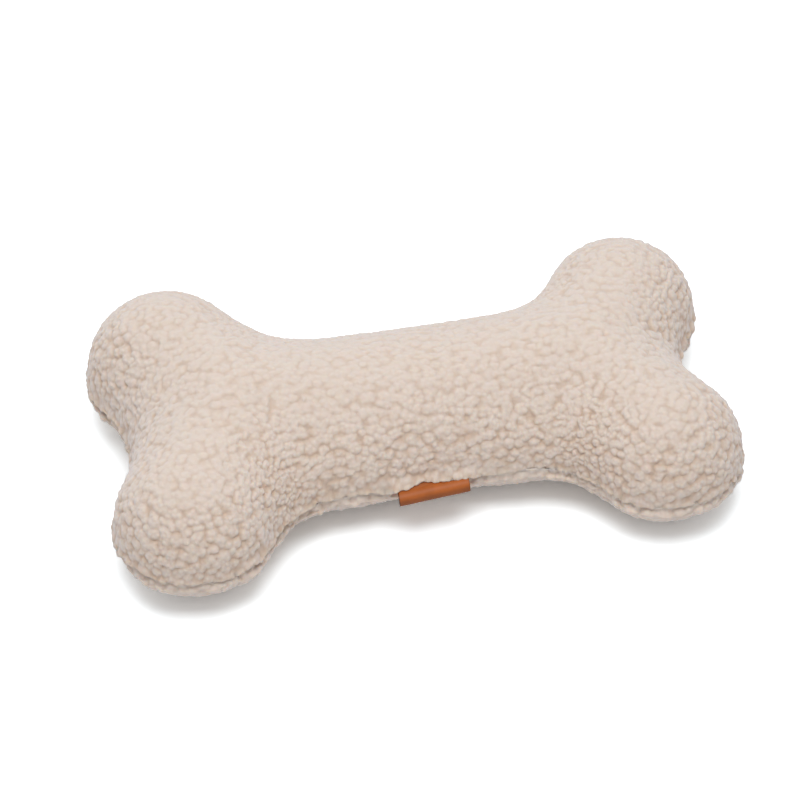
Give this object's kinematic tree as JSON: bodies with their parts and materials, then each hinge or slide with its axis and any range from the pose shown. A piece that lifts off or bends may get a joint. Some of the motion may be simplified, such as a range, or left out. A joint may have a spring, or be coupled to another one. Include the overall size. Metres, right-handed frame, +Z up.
{
  "type": "plush bone dog toy",
  "caption": "Stuffed bone-shaped dog toy of two fleece panels sewn round the edge, with a folded leather tab in the front seam and a squeaker in the filling.",
  "frame": {"origin": "middle of the toy's footprint on the surface it lies on, at the bottom of its box", "axes": "+X along the bone, +Z up through its thickness, the leather tab on the -Y side"},
  "size_m": [0.2994, 0.173, 0.0671],
  "materials": {
    "fleece": "matt curly sherpa pile, cream",
    "thread": "twisted polyester sewing thread",
    "fibre": "loose white polyester fibre",
    "leather": "smooth tan leather with dark cut edges",
    "bulb": "soft blow-moulded plastic",
    "plug": "hard moulded plastic",
    "reed": "thin stiff plastic strip"
  },
  "bodies": {
    "toy": {"upper_panel": "fleece", "lower_panel": "fleece", "seam_thread": "thread", "closing_thread": "thread", "tab_root": "leather", "squeaker_bellows": "bulb", "fill_shaft_left": "fibre", "fill_shaft_right": "fibre", "fill_lobe_front_left": "fibre", "fill_lobe_back_left": "fibre", "fill_lobe_front_right": "fibre", "fill_lobe_back_right": "fibre"},
    "tab": {"tab_flap": "leather"},
    "squeaker_top": {"squeaker_plug": "plug", "squeaker_reed": "reed"}
  },
  "joints": [
    {"name": "tab_flip", "type": "hinge", "parent": "toy", "child": "tab", "pos_m": [0, -0.04885, 0.0275], "axis": [-1, 0, 0], "range_deg": [-40, 85], "stiffness_Nm_per_rad": 0.004},
    {"name": "squeaker_press", "type": "slide", "parent": "toy", "child": "squeaker_top", "axis": [0, 0, -1], "range_m": [0, 0.008], "stiffness_N_per_m": 400, "deforming": ["squeaker_bellows"]}
  ]
}
